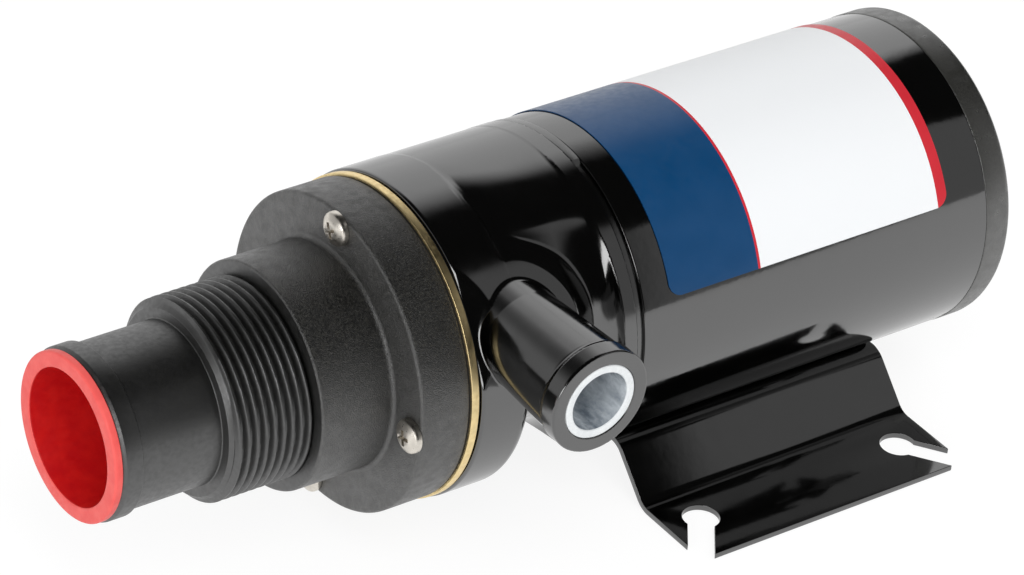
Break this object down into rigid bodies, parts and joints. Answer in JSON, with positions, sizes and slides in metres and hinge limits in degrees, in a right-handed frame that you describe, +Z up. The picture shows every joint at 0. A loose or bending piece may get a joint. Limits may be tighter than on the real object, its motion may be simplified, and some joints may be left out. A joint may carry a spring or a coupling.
{
  "type": "macerator pump",
  "caption": "Electric macerator pump for waste water: threaded hose inlet, side outlet, chopper and impeller pump and round motor on a bent bracket.",
  "frame": {"origin": "centre of the four keyholes in the feet, on the plane the feet stand on", "axes": "+X along the pump axis from the inlet to the motor end, +Z up, -Y the side of the outlet"},
  "size_m": [0.2415, 0.1224, 0.085],
  "materials": {
    "red_plug": "satin",
    "cover_black": "fine grained matt",
    "screw_steel": "bright",
    "gasket_black": "matt",
    "wear_brass": "satin",
    "housing_black": "high gloss",
    "white_plug": "translucent gloss",
    "bell_black": "gloss",
    "case_black": "gloss",
    "label_white": "satin",
    "cap_grey": "fine grained matt",
    "bracket_black": "gloss",
    "stainless": "machined",
    "impeller_rubber": "matt",
    "seal_rubber": "matt",
    "bearing_steel": "ground",
    "ferrite": "matt",
    "core_steel": "laminated",
    "copper": "enamelled",
    "phenolic": "matt",
    "carbon": "matt",
    "spring_steel": "bright",
    "grommet_rubber": "matt"
  },
  "bodies": {
    "pump": {"inlet_cover": "cover_black", "cover_screws": "screw_steel", "cover_gasket": "gasket_black", "wear_plate": "wear_brass", "housing_gasket": "gasket_black", "pump_housing": "housing_black", "shaft_seal": "seal_rubber", "end_bell": "bell_black", "housing_screws": "screw_steel", "front_bearing": "bearing_steel", "rear_bearing": "bearing_steel", "motor_case": "case_black", "label": "label_white", "magnets": "ferrite", "brush_plate": "phenolic", "brush_boxes": "wear_brass", "brush_spring_upper": "spring_steel", "brush_spring_lower": "spring_steel", "end_cap": "cap_grey", "cable_grommet": "grommet_rubber", "through_bolts": "screw_steel", "base_bracket": "bracket_black", "bracket_screws": "screw_steel"},
    "inlet_plug": {"inlet_plug": "red_plug"},
    "outlet_plug": {"outlet_plug": "white_plug"},
    "rotor": {"motor_shaft": "stainless", "chopper_plate": "stainless", "chopper_washer": "stainless", "chopper_nut": "stainless", "impeller": "impeller_rubber", "impeller_insert": "wear_brass", "drive_pin": "stainless", "slinger": "seal_rubber", "armature_core": "core_steel", "windings": "copper", "commutator": "copper"},
    "brush_upper": {"brush_upper": "carbon"},
    "brush_lower": {"brush_lower": "carbon"}
  },
  "joints": [
    {"name": "rotor_spin", "type": "hinge", "parent": "pump", "child": "rotor", "pos_m": [0, 0, 0.046], "axis": [1, 0, 0], "continuous": true},
    {"name": "inlet_plug_pull", "type": "slide", "parent": "pump", "child": "inlet_plug", "axis": [-1, 0, 0], "range_m": [0, 0.03]},
    {"name": "outlet_plug_pull", "type": "slide", "parent": "pump", "child": "outlet_plug", "axis": [0, -1, 0], "range_m": [0, 0.025]},
    {"name": "brush_upper_slide", "type": "slide", "parent": "pump", "child": "brush_upper", "axis": [0, 0, 1], "range_m": [0, 0.003], "deforming": ["brush_spring_upper"]},
    {"name": "brush_lower_slide", "type": "slide", "parent": "pump", "child": "brush_lower", "axis": [0, 0, -1], "range_m": [0, 0.003], "deforming": ["brush_spring_lower"]}
  ]
}
